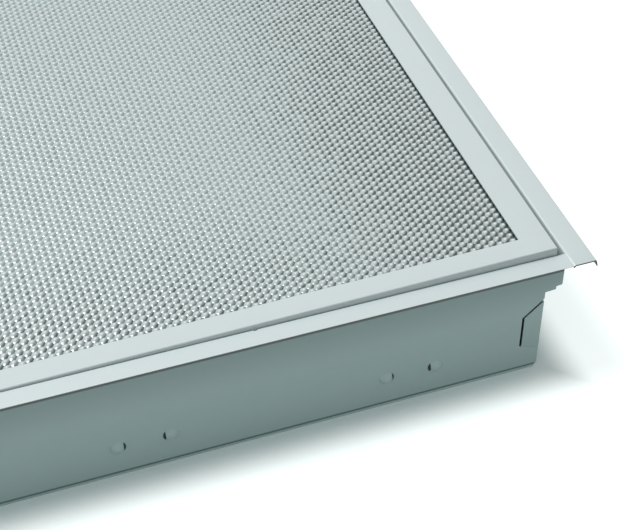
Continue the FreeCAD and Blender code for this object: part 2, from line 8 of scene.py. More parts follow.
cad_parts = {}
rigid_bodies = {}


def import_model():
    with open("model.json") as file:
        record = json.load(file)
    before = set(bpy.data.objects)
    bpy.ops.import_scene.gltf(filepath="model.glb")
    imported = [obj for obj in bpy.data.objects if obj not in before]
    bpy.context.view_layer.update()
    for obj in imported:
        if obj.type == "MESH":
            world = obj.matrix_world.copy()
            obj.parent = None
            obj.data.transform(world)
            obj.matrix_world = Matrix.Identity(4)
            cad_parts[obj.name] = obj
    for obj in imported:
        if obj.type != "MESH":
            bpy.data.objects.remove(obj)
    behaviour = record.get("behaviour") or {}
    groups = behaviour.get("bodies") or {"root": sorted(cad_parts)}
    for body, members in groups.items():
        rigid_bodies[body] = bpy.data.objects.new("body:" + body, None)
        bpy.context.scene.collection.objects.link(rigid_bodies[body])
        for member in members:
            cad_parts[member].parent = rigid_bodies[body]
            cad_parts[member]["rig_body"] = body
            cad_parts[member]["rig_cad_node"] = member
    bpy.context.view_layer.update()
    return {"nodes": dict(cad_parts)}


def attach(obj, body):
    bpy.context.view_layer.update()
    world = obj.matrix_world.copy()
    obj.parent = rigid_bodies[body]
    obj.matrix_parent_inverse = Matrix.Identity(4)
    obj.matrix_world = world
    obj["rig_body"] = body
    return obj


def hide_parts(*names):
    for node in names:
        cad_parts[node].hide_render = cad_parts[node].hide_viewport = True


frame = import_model()

# ---------------------------------------------------------------------------------------------
# Back panel with its side walls, shoulders and ledges.
# One sheet of 0.8 mm steel, coated, then folded along eight lines. The panel runs on a little
# under both end plates, and has holes for the hangers and the wiring plate.
# ---------------------------------------------------------------------------------------------
SHEET = 0.0008
EDGE_EASE = 0.13
PAN_LINE = (
    (-285.9, 70.1), (-281.6, 70.1), (-281.6, 68.4), (-274.0, 67.8), (-274.0, 0.0),
    (274.0, 0.0), (274.0, 67.8), (281.6, 68.4), (281.6, 70.1), (285.9, 70.1),
)
PAN_END = 593.2
PAN_TONGUE = 2.3
HANGER_R = 3.5
WIRING_Y = -330.0
WIRING_HALF = 32.0
HOUSING_COAT = (0.44, 0.62, 0.605)


def mm(*values):
    return tuple(v * 0.001 for v in values)


def alone(*pieces):
    """Only these pieces stay selected, and the first is the one that is worked on."""
    bpy.ops.object.select_all(action="DESELECT")
    for piece in pieces:
        piece.select_set(True)
    bpy.context.view_layer.objects.active = pieces[0]


def new_piece(name):
    """The primitive just added, named and with its place in its mesh."""
    piece = bpy.context.object
    piece.name = name
    piece.data.name = name
    alone(piece)
    bpy.ops.object.transform_apply(location=True, rotation=True, scale=True)
    return piece


def pick(piece, kind, test):
    """Selects, in edit mode, the vertices, edges or faces whose middle passes the test."""
    bpy.ops.mesh.select_mode(type={"verts": "VERT", "edges": "EDGE", "faces": "FACE"}[kind])
    bpy.ops.mesh.select_all(action="DESELECT")
    mesh = bmesh.from_edit_mesh(piece.data)
    for item in getattr(mesh, kind):
        points = [item.co] if kind == "verts" else [v.co for v in item.verts]
        middle = sum(points, Vector()) / len(points)
        item.select = bool(test(middle, item))
    mesh.select_flush_mode()
    bmesh.update_edit_mesh(piece.data)


def apply(piece, kind, **settings):
    """Adds a modifier, sets it and applies it."""
    alone(piece)
    modifier = piece.modifiers.new(kind.lower(), kind)
    for key, value in settings.items():
        setattr(modifier, key, value)
    bpy.ops.object.modifier_apply(modifier=modifier.name)


def folded(name, line, y0, y1, bend=1.0, metal_left=True, wide=None):
    """Sheet folded along a line drawn in X and Z, its folds rounded, one of them wider if asked."""
    bpy.ops.object.select_all(action="DESELECT")
    x, z = line[0]
    bpy.ops.mesh.primitive_plane_add(size=0.001, location=mm(x, (y0 + y1) / 2, z))
    piece = new_piece(name)
    bpy.ops.object.mode_set(mode="EDIT")
    pick(piece, "verts", lambda at, v: at.x > x * 0.001)
    bpy.ops.mesh.delete(type="VERT")
    bpy.ops.mesh.select_all(action="SELECT")
    bpy.ops.transform.translate(value=mm(0.5, 0, 0))
    bpy.ops.transform.resize(value=(1, y1 - y0, 1), center_override=mm(x, (y0 + y1) / 2, z))
    for (xa, za), (xb, zb) in zip(line, line[1:]):
        bpy.ops.mesh.extrude_edges_move(TRANSFORM_OT_translate={"value": mm(xb - xa, 0, zb - za)})
    if wide:
        (xw, zw), offset = wide
        pick(
            piece, "edges",
            lambda at, e: abs(at.x - xw * 0.001) < 1e-5 and abs(at.z - zw * 0.001) < 1e-5,
        )
        bpy.ops.mesh.bevel(offset=offset * 0.001, segments=6, affect="EDGES")
    pick(piece, "edges", lambda at, e: len(e.link_faces) == 2 and e.calc_face_angle(0) > 0.3)
    bpy.ops.mesh.bevel(offset=bend * 0.001, segments=4, affect="EDGES")
    mesh = bmesh.from_edit_mesh(piece.data)
    (xa, za), (xb, zb) = line[:2]
    left = Vector((za - zb, 0, xb - xa)) * (1 if metal_left else -1)
    middle = Vector(mm((xa + xb) / 2, 0, (za + zb) / 2))
    first = min(mesh.faces, key=lambda f: (f.calc_center_median() - middle).length)
    if first.normal.dot(left) > 0:
        bpy.ops.mesh.select_all(action="SELECT")
        bpy.ops.mesh.flip_normals()
    bpy.ops.object.mode_set(mode="OBJECT")
    return piece


def thicken(piece):
    """Gives the folded face its 0.8 mm and takes the sharpness off the cut edges."""
    apply(piece, "SOLIDIFY", thickness=SHEET, offset=-1, use_even_offset=True)
    apply(
        piece, "BEVEL", width=EDGE_EASE * 0.001, segments=2,
        limit_method="ANGLE", angle_limit=math.radians(55),
    )
    smooth(piece)


def smooth(piece, angle=30):
    alone(piece)
    bpy.ops.object.shade_smooth_by_angle(angle=math.radians(angle))


def cutter(x0, x1, y0, y1, z0, z1):
    """A block that is taken out of a piece."""
    bpy.ops.object.select_all(action="DESELECT")
    bpy.ops.mesh.primitive_cube_add(size=1, location=mm((x0 + x1) / 2, (y0 + y1) / 2, (z0 + z1) / 2))
    block = bpy.context.object
    block.scale = mm(abs(x1 - x0), abs(y1 - y0), abs(z1 - z0))
    return new_piece("cutter")


def drill(r, x, y, z, depth):
    """A round bar that is taken out of a piece."""
    bpy.ops.object.select_all(action="DESELECT")
    bpy.ops.mesh.primitive_cylinder_add(
        vertices=32, radius=r * 0.001, depth=depth * 0.001, location=mm(x, y, z)
    )
    return new_piece("drill")


def cut(piece, *tools, how="DIFFERENCE"):
    """Takes the tools out of the piece, or joins them to it, and puts them away."""
    for tool in tools:
        apply(piece, "BOOLEAN", operation=how, solver="EXACT", object=tool)
        bpy.data.objects.remove(tool)


class Shade:
    """A value or colour in a material. Sums written on it add the nodes that work them out."""

    def __init__(self, tree, socket=None):
        self.tree = tree
        self.socket = socket

    def node(self, kind, sockets=None, out=0, **settings):
        """A new node: its settings first, then its sockets' values or links."""
        node = self.tree.nodes.new("ShaderNode" + kind)
        for key, value in settings.items():
            setattr(node, key, value)
        for key, value in (sockets or {}).items():
            if isinstance(value, Shade):
                self.tree.links.new(value.socket, node.inputs[key])
            else:
                node.inputs[key].default_value = value
        return Shade(self.tree, node.outputs[out])

    def sum(self, operation, a, b=0.0):
        return self.node("Math", {0: a, 1: b}, operation=operation)

    def __add__(self, other):
        return self.sum("ADD", self, other)

    __radd__ = __add__

    def __sub__(self, other):
        return self.sum("SUBTRACT", self, other)

    def __rsub__(self, other):
        return self.sum("SUBTRACT", other, self)

    def __mul__(self, other):
        return self.sum("MULTIPLY", self, other)

    __rmul__ = __mul__

    def __truediv__(self, other):
        return self.sum("DIVIDE", self, other)

    def __pow__(self, other):
        return self.sum("POWER", self, other)

    def size(self):
        return self.sum("ABSOLUTE", self)

    def below(self, other):
        return self.sum("LESS_THAN", self, other)

    def step(self, low, high, start=0.0, end=1.0):
        """Rises smoothly from start to end while the value goes from low to high."""
        return self.node(
            "MapRange", {"Value": self, "From Min": low, "From Max": high, "To Min": start, "To Max": end},
            interpolation_type="SMOOTHSTEP",
        )

    def mix(self, a, b):
        """Colour a where the value is 0, and b where it is 1."""
        a, b = [(*c, 1) if isinstance(c, tuple) else c for c in (a, b)]
        return self.node("Mix", {"Factor": self, 6: a, 7: b}, out=2, data_type="RGBA")

    def place(self):
        return self.node("TexCoord", out=3)

    def noise(self, scale, detail=2.0, stretch=(1, 1, 1)):
        """Fine irregularity, so many to the metre, stretched along an axis where asked."""
        at = self.node("Mapping", {"Vector": self.place(), "Scale": stretch})
        return self.node("TexNoise", {"Vector": at, "Scale": scale, "Detail": detail})

    def axes(self):
        """The three Object coordinates, in metres."""
        split = self.node("SeparateXYZ", {"Vector": self.place()})
        outs = split.socket.node.outputs
        return [Shade(self.tree, outs[i]) for i in range(3)]

    def bump(self, height, depth, strength=1.0):
        return self.node("Bump", {"Height": height, "Distance": depth, "Strength": strength})


def finish_of(name, **constants):
    """A new material: its shader with the sockets that are the same all over, and a first Shade."""
    material = bpy.data.materials.new(name)
    material.use_nodes = True
    tree = material.node_tree
    shader = tree.nodes["Principled BSDF"]
    for key, value in constants.items():
        shader.inputs[key.replace("_", " ")].default_value = value
    return material, Shade(tree), shader


def link(shader, **sockets):
    for key, value in sockets.items():
        value.tree.links.new(value.socket, shader.inputs[key.replace("_", " ")])


def coated(name, colour, gloss=0.36, wear=0.03, painted_light=None):
    """Stove coat on steel: slight clouding, a fine orange peel and uneven gloss."""
    material, s, shader = finish_of(name, Coat_Roughness=0.2)
    cloud = s.noise(2.2, 3.0)
    grain = s.noise(140.0, 2.0)
    tone = cloud * wear + grain * (wear * 0.5)
    dark = tuple(c * (1 - wear * 1.5) for c in colour)
    light = tuple(min(1.0, c * (1 + wear * 1.5)) for c in colour)
    coat = (tone / (wear * 1.5)).mix(dark, light)
    # Where given, painted light and shade are laid into the coat's colour here.
    if painted_light:
        coat = painted_light(coat, *s.axes())
    link(
        shader,
        Base_Color=coat,
        Roughness=cloud * 0.12 + grain * 0.06 + (gloss - 0.09),
        Coat_Weight=cloud * 0.1 + 0.1,
        Normal=s.bump(s.noise(700.0, 2.0), 0.00002, 0.5),
    )
    return material


def dress(piece, body, slot, material, *nodes):
    """The piece gets its finish and its body, and stands for these CAD nodes."""
    piece.data.materials.clear()
    piece.data.materials.append(material)
    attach(piece, body)
    if nodes:
        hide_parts(*nodes)


pan = folded("housing_pan", PAN_LINE, -PAN_END, PAN_END, bend=0.5)
bpy.ops.object.mode_set(mode="EDIT")
for way in (-1, 1):
    pick(
        pan, "edges",
        lambda at, e: at.z < 0.0001 and at.y * way > 0.59
        and len(e.link_faces) == 1 and e.calc_length() > 0.1,
    )
    bpy.ops.mesh.extrude_edges_move(TRANSFORM_OT_translate={"value": mm(0, way * PAN_TONGUE, 0)})
    bpy.ops.transform.resize(value=(271.0 / 273.5, 1, 1), center_override=(0, 0, 0))
bpy.ops.object.mode_set(mode="OBJECT")
thicken(pan)
hangers = [drill(HANGER_R, x, y, 0, 4) for x in (-200, 200) for y in (-500, 500)]
wiring = cutter(-WIRING_HALF, WIRING_HALF, WIRING_Y - WIRING_HALF, WIRING_Y + WIRING_HALF, -2, 3)
cut(pan, wiring, *hangers)
smooth(pan)
housing_coat = coated("housing_coat", HOUSING_COAT, gloss=0.42, wear=0.05)
dress(pan, "housing", "housing_paint", housing_coat, "housing_body")

# ---------------------------------------------------------------------------------------------
# Front and rear end plates.
# Flat steel with the outward flange folded at its top, shouldered like the pan it closes. Three
# pairs of half domes are pressed out for the lampholders, and a clip is cut free in each corner.
# ---------------------------------------------------------------------------------------------
PLATE_IN = 593.5
PLATE_OUT = 594.3
FLANGE_END = 606.5
PLATE_OUTLINE = (
    (-274.0, 0.8), (274.0, 0.8), (274.0, 67.8), (281.6, 68.4), (281.6, 70.9), (285.9, 71.7),
    (285.9, 97.8), (285.1, 97.8), (285.1, 98.6), (-285.1, 98.6), (-285.1, 97.8), (-285.9, 97.8),
    (-285.9, 71.7), (-281.6, 70.9), (-281.6, 68.4), (-274.0, 67.8),
)
# The flange of the end plates is painted paler than their wall: painted light.
FLANGE_COAT = (0.655, 0.745, 0.75)
CLIP_HOLE = ((280.0, 68.0), (259.4, 48.6), (259.4, 22.0), (274.0, 16.8), (280.0, 14.66))
CLIP_SHAPE = ((274.0, 59.8), (261.2, 47.8), (261.2, 21.43), (274.0, 16.87))
LAMP_X = (-181.0, 0.0, 181.0)
DOME_HALF_PITCH = 17.3
DOME_Z = 24.4
DOME_R = 5.0
DOME_RISE = 2.8
DOME_OPEN = 3.6
DOME_MOUTH = 1.3
NOTCH = (74.3, 77.1, -594.7, -592.0, 96.6, 99.6)
TO_REAR = (0, 1, 0)
TO_LEFT = (1, 0, 0)


def flat(name, corners, y0, y1):
    """A flat blank cut to a line drawn in X and Z, from one face to the other."""
    bpy.ops.object.select_all(action="DESELECT")
    bpy.ops.mesh.primitive_circle_add(vertices=len(corners), radius=0.1, fill_type="NGON")
    piece = new_piece(name)
    for vertex, (x, z) in zip(piece.data.vertices, corners):
        vertex.co = mm(x, y0, z)
    bpy.ops.object.mode_set(mode="EDIT")
    bpy.ops.mesh.select_all(action="SELECT")
    bpy.ops.mesh.extrude_region_move(TRANSFORM_OT_translate={"value": mm(0, y1 - y0, 0)})
    bpy.ops.mesh.select_all(action="SELECT")
    bpy.ops.mesh.normals_make_consistent(inside=False)
    bpy.ops.object.mode_set(mode="OBJECT")
    return piece


def dome_at(x, away, hollow):
    """The pressed shape of one dome, or of the hollow in it: a ball cut off at two flat places."""
    ball = (DOME_R ** 2 + DOME_RISE ** 2) / (2 * DOME_RISE)
    inner = PLATE_IN - 0.5 if hollow else (PLATE_IN + PLATE_OUT) / 2
    open_side = x - away * (DOME_OPEN + (DOME_MOUTH if hollow else 0.0))
    bpy.ops.object.select_all(action="DESELECT")
    bpy.ops.mesh.primitive_uv_sphere_add(
        segments=50, ring_count=23, radius=(ball - (0.8 if hollow else 0.0)) * 0.001,
        location=mm(x, -PLATE_OUT - DOME_RISE + ball, DOME_Z), rotation=(math.radians(90), 0, 0),
    )
    dome = new_piece("dome")
    bpy.ops.object.mode_set(mode="EDIT")
    for place, way in (((0, -inner, 0), (0, 1, 0)), ((open_side, 0, 0), (-away, 0, 0))):
        bpy.ops.mesh.select_all(action="SELECT")
        bpy.ops.mesh.bisect(plane_co=mm(*place), plane_no=way, use_fill=True, clear_outer=True)
    bpy.ops.mesh.select_all(action="SELECT")
    bpy.ops.mesh.normals_make_consistent(inside=False)
    bpy.ops.object.mode_set(mode="OBJECT")
    return dome


def joined(pieces):
    """Several meshes made one."""
    alone(*pieces)
    bpy.ops.object.join()
    return bpy.context.object


def end_plate(name, notched):
    """An end plate as at the front; the front one has the release notch beside the door."""
    plate = flat(name, PLATE_OUTLINE, -PLATE_OUT, -PLATE_IN)
    bpy.ops.object.mode_set(mode="EDIT")
    bpy.ops.mesh.select_all(action="SELECT")
    bpy.ops.mesh.bisect(plane_co=mm(0, 0, 97.8), plane_no=(0, 0, 1))
    pick(plate, "faces", lambda at, f: at.z > 0.0979 and f.normal.y < -0.9)
    bpy.ops.mesh.extrude_region_move(TRANSFORM_OT_translate={"value": mm(0, PLATE_OUT - FLANGE_END, 0)})
    pick(plate, "edges", lambda at, e: at.z < 0.0009 and abs(at.x) > 0.2739)
    bpy.ops.mesh.bevel(offset=0.003, segments=6, affect="EDGES")
    pick(plate, "edges", lambda at, e: at.z > 0.0985 and at.y > -0.5936 and abs(at.x) < 0.1)
    bpy.ops.mesh.bevel(offset=0.0009, segments=5, affect="EDGES")
    pick(plate, "edges", lambda at, e: at.y < -0.6064 and abs(at.x) < 0.1)
    bpy.ops.mesh.bevel(offset=0.00025, segments=3, affect="EDGES")
    bpy.ops.object.mode_set(mode="OBJECT")
    if notched:
        cut(plate, cutter(*NOTCH))
    domes = []
    hollows = []
    for lamp in LAMP_X:
        for away in (-1, 1):
            domes.append(dome_at(lamp + away * DOME_HALF_PITCH, away, False))
            hollows.append(dome_at(lamp + away * DOME_HALF_PITCH, away, True))
    cut(plate, joined(domes), how="UNION")
    cut(plate, joined(hollows))
    for side in (-1, 1):
        cut(plate, flat("hole", [(side * x, z) for x, z in CLIP_HOLE], -PLATE_OUT - 1, -PLATE_IN + 1))
    return plate


def mirrored(piece, name, across):
    """A copy of a piece, mirrored to the other end or side."""
    copy = piece.copy()
    copy.data = piece.data.copy()
    copy.name = name
    bpy.context.scene.collection.objects.link(copy)
    copy.data.transform(Matrix.Scale(-1, 4, across))
    copy.data.flip_normals()
    return copy


def clip(name, side):
    """A ceiling clip, still in the plane of its plate."""
    corners = [(x * side, z) for x, z in CLIP_SHAPE]
    piece = flat(name, corners, -PLATE_OUT, -PLATE_IN)
    apply(piece, "BEVEL", width=0.00012, segments=2, limit_method="ANGLE", angle_limit=math.radians(50))
    smooth(piece)
    return piece


front_plate = end_plate("end_wall_front", True)
plain_plate = end_plate("end_wall_plain", False)
rear_plate = mirrored(plain_plate, "end_wall_rear", TO_REAR)
bpy.data.objects.remove(plain_plate)
smooth(front_plate)
smooth(rear_plate)


def plate_painted_light(coat, x, y, z):
    """Painted light and shade in the coat: painted shade under the flange, at the foot and in the dome
    mouths; the flange painted paler than the wall as painted light, its front edge a painted highlight."""
    # Painted shade under the flange, a soft darkening from 50 mm up and then a dark band; and painted shade
    # at the foot.
    painted_shade_under_flange = z.step(0.050, 0.083) * 0.2 + z.step(0.0824, 0.0836) * 0.55
    coat = (painted_shade_under_flange + z.step(0.0016, 0.0030, 0.7, 0.0)).mix(coat, (0.02, 0.045, 0.043))
    # Painted shade in the open mouths of the half domes.
    lamp = x.sum("MINIMUM", x.size(), (x.size() - LAMP_X[2] * 0.001).size())
    out, up = lamp - DOME_HALF_PITCH * 0.001, z - DOME_Z * 0.001
    painted_mouth_shade = ((out * out + up * up) ** 0.5).step(0.0050, 0.0056, 0.95, 0.0)
    painted_mouth_shade = painted_mouth_shade * out.step(-0.0037, -0.0035, 1.0, 0.0)
    coat = painted_mouth_shade.mix(coat, (0.004, 0.012, 0.011))
    # The flange painted paler as painted light, and its front edge a painted highlight.
    coat = z.step(0.0978, 0.0979).mix(coat, FLANGE_COAT)
    return (y.size().step(0.6061, 0.6063) * z.step(0.0974, 0.0976)).mix(coat, (0.92, 0.97, 0.97))


end_coat = coated("end_plate_coat", HOUSING_COAT, gloss=0.42, wear=0.04, painted_light=plate_painted_light)
dress(front_plate, "housing", "housing_paint", end_coat, "end_plate_front")
dress(rear_plate, "housing", "housing_paint", end_coat, "end_plate_rear")
for side, side_name in ((-1, "left"), (1, "right")):
    front_clip = clip("clip_front_" + side_name, side)
    rear_clip = mirrored(front_clip, "clip_rear_" + side_name, TO_REAR)
    dress(front_clip, "clip_front_" + side_name, "housing_paint", end_coat, "ceiling_clip_front_" + side_name)
    dress(rear_clip, "clip_rear_" + side_name, "housing_paint", end_coat, "ceiling_clip_rear_" + side_name)

# ---------------------------------------------------------------------------------------------
# Side rails.
# White steel strip folded four times: a foot spot-welded on the ledge, the collar beside the
# door, the flange that lies on the ceiling grid, and its turned-down lip.
# ---------------------------------------------------------------------------------------------
RAIL_LINE = ((280.8, 71.7), (285.1, 71.7), (285.1, 98.6), (301.1, 98.6), (302.5, 93.6))
RAIL_END = 593.2
WHITE_COAT = (0.64, 0.72, 0.725)
COLLAR_FOLD = (285.1, 98.6)
COLLAR_FOLD_R = 1.8
KEEPER_Y = 250.0
KEEPER_HALF = 7
KEEPER_TOP = 91.4


def side_rail(name):
    """The right rail, as folded."""
    rail = folded(
        name, RAIL_LINE, -RAIL_END, RAIL_END, bend=0.7, metal_left=False, wide=(COLLAR_FOLD, COLLAR_FOLD_R),
    )
    bpy.ops.object.mode_set(mode="EDIT")
    for way in (-1, 1):
        pick(
            rail, "edges",
            lambda at, e: len(e.link_faces) == 1 and at.y * way > 0.593
            and at.x >= 0.28511 and at.z > 0.0935,
        )
        longer = mm(0, way * (FLANGE_END - RAIL_END), 0)
        bpy.ops.mesh.extrude_edges_move(TRANSFORM_OT_translate={"value": longer})
    bpy.ops.object.mode_set(mode="OBJECT")
    thicken(rail)
    return rail


right_rail = side_rail("rail_right")
left_rail = mirrored(right_rail, "rail_left", TO_LEFT)
for y in (-KEEPER_Y, KEEPER_Y):
    sides = (y - KEEPER_HALF, y + KEEPER_HALF)
    cut(right_rail, cutter(284.0, 287.0, *sides, KEEPER_TOP, 95.1))
    cut(right_rail, cutter(280.6, 285.5, *sides, 90.6, KEEPER_TOP), how="UNION")
smooth(right_rail)
smooth(left_rail)


def rail_painted_light(coat, x, y, z):
    """Painted light and shade in the coat: the fold beside the door painted paler as painted light,
    and the cut ends of the sheet painted dark as painted shade.
    """
    coat = (x.size().step(0.2858, 0.2862, 1.0, 0.0) * z.step(0.088, 0.090)).mix(coat, (0.84, 0.95, 0.94))
    return y.size().step(0.6061, 0.6063).mix(coat, (0.02, 0.035, 0.034))


white_coat = coated("white_coat", WHITE_COAT, painted_light=rail_painted_light)
dress(right_rail, "housing", "white_paint", white_coat, "side_rail_right")
dress(left_rail, "housing", "white_paint", white_coat, "side_rail_left")

# ---------------------------------------------------------------------------------------------
# Ballast, wiring plate, terminal block and leads on the back panel.
# The ballast is a lidded steel case held by two screwed ears; the plate closes the wiring
# opening from inside; the leads are insulated copper.
# ---------------------------------------------------------------------------------------------


def eased(name, node, body, slot, material, width=0.3, segments=2, limit=40):
    """A copy of a CAD piece with its doubles merged and its sharp edges rounded."""
    piece = frame["nodes"][node].copy()
    piece.data = frame["nodes"][node].data.copy()
    piece.name = name
    piece.data.name = name
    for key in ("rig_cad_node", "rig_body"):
        if key in piece:
            del piece[key]
    piece.parent = None
    piece.hide_render = False
    bpy.context.scene.collection.objects.link(piece)
    alone(piece)
    bpy.ops.object.mode_set(mode="EDIT")
    bpy.ops.mesh.select_all(action="SELECT")
    bpy.ops.mesh.remove_doubles(threshold=0.00001)
    bpy.ops.mesh.dissolve_limited(angle_limit=math.radians(2))
    bpy.ops.object.mode_set(mode="OBJECT")
    apply(
        piece, "BEVEL", width=width * 0.001, segments=segments,
        limit_method="ANGLE", angle_limit=math.radians(limit),
    )
    smooth(piece)
    dress(piece, body, slot, material, node)
    return piece


def plated(name, colour=(0.60, 0.62, 0.63), rough=0.3):
    """Zinc plate on steel: metal with a faint crystal clouding."""
    material, s, shader = finish_of(name, Metallic=1.0)
    cloud = s.noise(160.0, 3.0)
    link(
        shader,
        Base_Color=cloud.mix(tuple(c * 0.88 for c in colour), tuple(min(1, c * 1.1) for c in colour)),
        Roughness=cloud * 0.16 + (rough - 0.08),
        Normal=s.bump(s.noise(900.0, 2.0), 0.00001, 0.5),
    )
    return material


def moulded(name, colour, rough=0.42):
    """Moulded plastic: one colour through and through, with a fine eroded texture."""
    material, s, shader = finish_of(name)
    cloud = s.noise(30.0, 2.0)
    link(
        shader,
        Base_Color=cloud.mix(tuple(c * 0.97 for c in colour), tuple(min(1, c * 1.02) for c in colour)),
        Roughness=cloud * 0.1 + (rough - 0.05),
        Normal=s.bump(s.noise(1500.0, 2.0), 0.00002, 0.4),
    )
    return material


def finish_node(node, material):
    """A CAD node whose shape is right gets its material."""
    mesh = frame["nodes"][node].data
    mesh.materials.clear()
    mesh.materials.append(material)


zinc = plated("zinc_plate")
ballast_coat = coated("ballast_coat", (0.5, 0.53, 0.55), 0.4)
eased("ballast_case", "ballast", "housing", "ballast_paint", ballast_coat, 0.4)
eased("wiring_plate", "access_plate", "housing", "housing_paint", housing_coat, 0.15)
nylon = moulded("terminal_nylon", (0.72, 0.72, 0.68))
eased("terminal_strip", "terminal_block", "housing", "terminal_plastic", nylon, 0.2)
finish_node("earth_screw", plated("earth_screw_green", (0.08, 0.42, 0.16), 0.35))

insulation, s, shader = finish_of("lead_insulation", Roughness=0.38)
x, y, z = s.axes()
brown = (x + 0.005).size().below(0.002)
blue = (x - 0.005).size().below(0.002)
supply = y.size().below(0.24) * x.size().below(0.009)
striped = brown.mix(blue.mix((0.3, 0.5, 0.08), (0.03, 0.1, 0.5)), (0.2, 0.07, 0.03))
link(
    shader,
    Base_Color=supply.mix(s.noise(60.0).mix((0.62, 0.62, 0.6), (0.72, 0.72, 0.7)), striped),
    Normal=s.bump(s.noise(1200.0), 0.00002, 0.4),
)
for node in ("supply_leads", "lamp_leads_front", "lamp_leads_rear"):
    finish_node(node, insulation)

# ---------------------------------------------------------------------------------------------
# Gear cover.
# A white hat section, folded from one sheet, screwed down over the ballast and the leads. It is
# also the reflector behind the middle lamp.
# ---------------------------------------------------------------------------------------------
COVER_LINE = ((67.0, 1.6), (55.0, 1.6), (45.0, 32.8), (-45.0, 32.8), (-55.0, 1.6), (-67.0, 1.6))
COVER_END = 573.8

cover = folded("reflector_cover", COVER_LINE, -COVER_END, COVER_END, bend=1.4)
thicken(cover)
reflector_coat = coated("reflector_coat", (0.80, 0.83, 0.83), gloss=0.3)
dress(cover, "housing", "housing_paint", reflector_coat, "gear_cover")

# ---------------------------------------------------------------------------------------------
# Lamps and their holders.
# Each lamp is a 16 mm glass tube, coated white inside, with an aluminium cap and two pins at
# each end. The holders are moulded, and a rotor in each turns with the pins.
# ---------------------------------------------------------------------------------------------
phosphor, s, shader = finish_of("lamp_phosphor", Coat_Weight=0.6, Coat_Roughness=0.04)
x, y, z = s.axes()
worn = (y.size() + s.noise(40.0) * 0.01).step(0.545, 0.572)
link(
    shader,
    Base_Color=worn.mix((0.86, 0.88, 0.87), (0.42, 0.40, 0.38)),
    Roughness=s.noise(25.0) * 0.06 + 0.16,
)
aluminium = plated("cap_aluminium", (0.74, 0.75, 0.76), 0.34)
holder_white = moulded("holder_plastic", (0.80, 0.80, 0.78))
rotor_white = moulded("rotor_plastic", (0.70, 0.70, 0.68), 0.36)
for name in ("left", "centre", "right"):
    finish_node("lamp_tube_" + name, phosphor)
    finish_node("lamp_caps_" + name, aluminium)
    finish_node("lamp_rotors_" + name, rotor_white)
    for end in ("front", "rear"):
        place = f"{end}_{name}"
        eased("holder_" + place, "lampholder_" + place, "housing", "holder_plastic", holder_white, 0.5, 3)

# ---------------------------------------------------------------------------------------------
# Door frame.
# Two side members over the whole length and two end members between them, each a flat face
# with a turned-down skirt, tied by angles at the corners. The door stands slightly ajar.
# ---------------------------------------------------------------------------------------------
HINGE = mm(-273.4, 0, 92.3)
AJAR = math.radians(0.74)
DOOR_LINE = ((279.4, 90.8), (279.4, 97.3), (259.2, 97.3))
DOOR_END = 593.0
SIGHT_X = 259.2
SIGHT_Y = 577.3
SKIRT_PAST = 19.4
HINGE_Y = 420
HINGE_SLOT_HALF = 16
LATCH_X = 270.4
LATCH_HOLE_R = 2.55


def ajar(piece):
    """Turns a piece of the closed door to where the door stands."""
    turn = Matrix.Rotation(-AJAR, 4, "Y")
    piece.data.transform(Matrix.Translation(HINGE) @ turn @ Matrix.Translation(-Vector(HINGE)))


def door_side(name):
    """A side member, as at the right."""
    member = folded(name, DOOR_LINE, -DOOR_END, DOOR_END, bend=0.7)
    apply(member, "SOLIDIFY", thickness=SHEET, offset=-1, use_even_offset=True)
    return member


def door_end(name):
    """The front end member, with its skirt wider than its face."""
    line = ((577.3, 97.3), (593.0, 97.3), (593.0, 90.8))
    member = folded(name, line, -SIGHT_X, SIGHT_X, bend=0.7, metal_left=False)
    member.data.transform(Matrix.Rotation(math.radians(-90), 4, "Z"))
    alone(member)
    bpy.ops.object.mode_set(mode="EDIT")
    bpy.ops.mesh.select_all(action="SELECT")
    bpy.ops.mesh.bisect(plane_co=mm(0, 0, 96.5), plane_no=(0, 0, 1))
    for way in (-1, 1):
        pick(member, "edges", lambda at, e: at.z < 0.0964 and at.x * way > 0.259 and len(e.link_faces) == 1)
        bpy.ops.mesh.extrude_edges_move(TRANSFORM_OT_translate={"value": mm(way * SKIRT_PAST, 0, 0)})
    bpy.ops.object.mode_set(mode="OBJECT")
    apply(member, "SOLIDIFY", thickness=SHEET, offset=-1, use_even_offset=True)
    return member


door_right = door_side("door_member_right")
door_left = mirrored(door_right, "door_member_left", TO_LEFT)
slots = [
    cutter(-281, -278.4, y - HINGE_SLOT_HALF, y + HINGE_SLOT_HALF, 89, 96.45) for y in (-HINGE_Y, HINGE_Y)
]
cut(door_left, *slots)
cut(door_right, *[drill(LATCH_HOLE_R, LATCH_X, y, 97, 4) for y in (-KEEPER_Y, KEEPER_Y)])
door_front = door_end("door_member_front")
door_rear = mirrored(door_front, "door_member_rear", TO_REAR)


def door_painted_shade(coat, x, y, z):
    """Painted shade in the coat: the end faces of the frame painted a little darker."""
    return (y.size().step(0.5921, 0.5925) * 0.3).mix(coat, (0.20, 0.27, 0.265))


door_coat = coated("door_coat", WHITE_COAT, painted_light=door_painted_shade)
for piece, node in (
    (door_right, "door_side_right"), (door_left, "door_side_left"),
    (door_front, "door_end_front"), (door_rear, "door_end_rear"),
):
    smooth(piece)
    ajar(piece)
    dress(piece, "door", "white_paint", door_coat, node)
for node in ("door_corner_keys", "lens_clips"):
    finish_node(node, zinc)

# ---------------------------------------------------------------------------------------------
# Prismatic lens.
# Extruded clear acrylic, 3 mm thick, with some twenty-five thousand small prisms rolled into
# its outer face. It drops into the door frame from behind.
# ---------------------------------------------------------------------------------------------
PRISM_PITCH = 5.3
PRISM_ROW = 4.59
PRISM_RISE = 1.45
PRISM_TOP = 96.45
PRISM_PAIRS = 60
PRISM_ALONG = 223
LENS_UNDER = 93.3
LENS_X = 266.0
LENS_Y = 584.3

